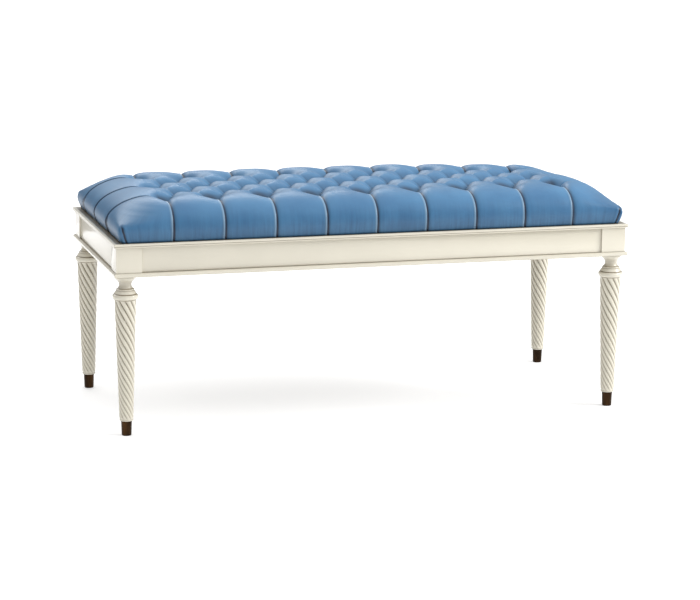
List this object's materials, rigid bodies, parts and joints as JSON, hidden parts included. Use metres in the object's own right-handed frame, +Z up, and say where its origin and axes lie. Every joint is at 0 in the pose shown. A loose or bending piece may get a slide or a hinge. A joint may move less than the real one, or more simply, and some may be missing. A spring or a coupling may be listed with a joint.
{
  "type": "piano bench",
  "caption": "Long upholstered bench with a deep diamond-tufted leather seat on a moulded painted frame and turned, spiral-reeded legs with metal ferrules.",
  "frame": {"origin": "centre of the footprint, on the floor under the feet", "axes": "+X along the bench's length, to the right seen from the front; -Y towards the front, where the player sits down; +Z up"},
  "size_m": [1.173, 0.515, 0.512],
  "materials": {
    "cream_paint": "satin cream paint on wood, lightly toned in the recesses",
    "blue_leather": "semi-gloss blue leather, lighter where it is stretched over the padding",
    "bronze": "dark oil-rubbed bronze",
    "bare_wood": "unfinished hardwood",
    "plywood": "unfinished plywood",
    "foam": "upholstery foam",
    "cambric": "matte black cambric",
    "steel": "zinc-plated steel"
  },
  "bodies": {
    "root": {"base_moulding_front": "cream_paint", "base_moulding_right": "cream_paint", "base_moulding_back": "cream_paint", "base_moulding_left": "cream_paint", "top_moulding_front": "cream_paint", "top_moulding_right": "cream_paint", "top_moulding_back": "cream_paint", "top_moulding_left": "cream_paint", "rail_front": "cream_paint", "rail_right": "cream_paint", "rail_back": "cream_paint", "rail_left": "cream_paint", "rail_centre": "bare_wood", "post_fl": "cream_paint", "brace_fl": "bare_wood", "brace_screw_long_fl": "steel", "brace_screw_end_fl": "steel", "seat_screw_fl": "steel", "leg_fl": "cream_paint", "ferrule_fl": "bronze", "hanger_bolt_fl": "steel", "leg_insert_fl": "steel", "post_fr": "cream_paint", "brace_fr": "bare_wood", "brace_screw_long_fr": "steel", "brace_screw_end_fr": "steel", "seat_screw_fr": "steel", "leg_fr": "cream_paint", "ferrule_fr": "bronze", "hanger_bolt_fr": "steel", "leg_insert_fr": "steel", "post_bl": "cream_paint", "brace_bl": "bare_wood", "brace_screw_long_bl": "steel", "brace_screw_end_bl": "steel", "seat_screw_bl": "steel", "leg_bl": "cream_paint", "ferrule_bl": "bronze", "hanger_bolt_bl": "steel", "leg_insert_bl": "steel", "post_br": "cream_paint", "brace_br": "bare_wood", "brace_screw_long_br": "steel", "brace_screw_end_br": "steel", "seat_screw_br": "steel", "leg_br": "cream_paint", "ferrule_br": "bronze", "hanger_bolt_br": "steel", "leg_insert_br": "steel", "seat_deck": "plywood", "foam_pad": "foam", "leather_cover": "blue_leather", "dust_cover": "cambric"}
  },
  "joints": []
}
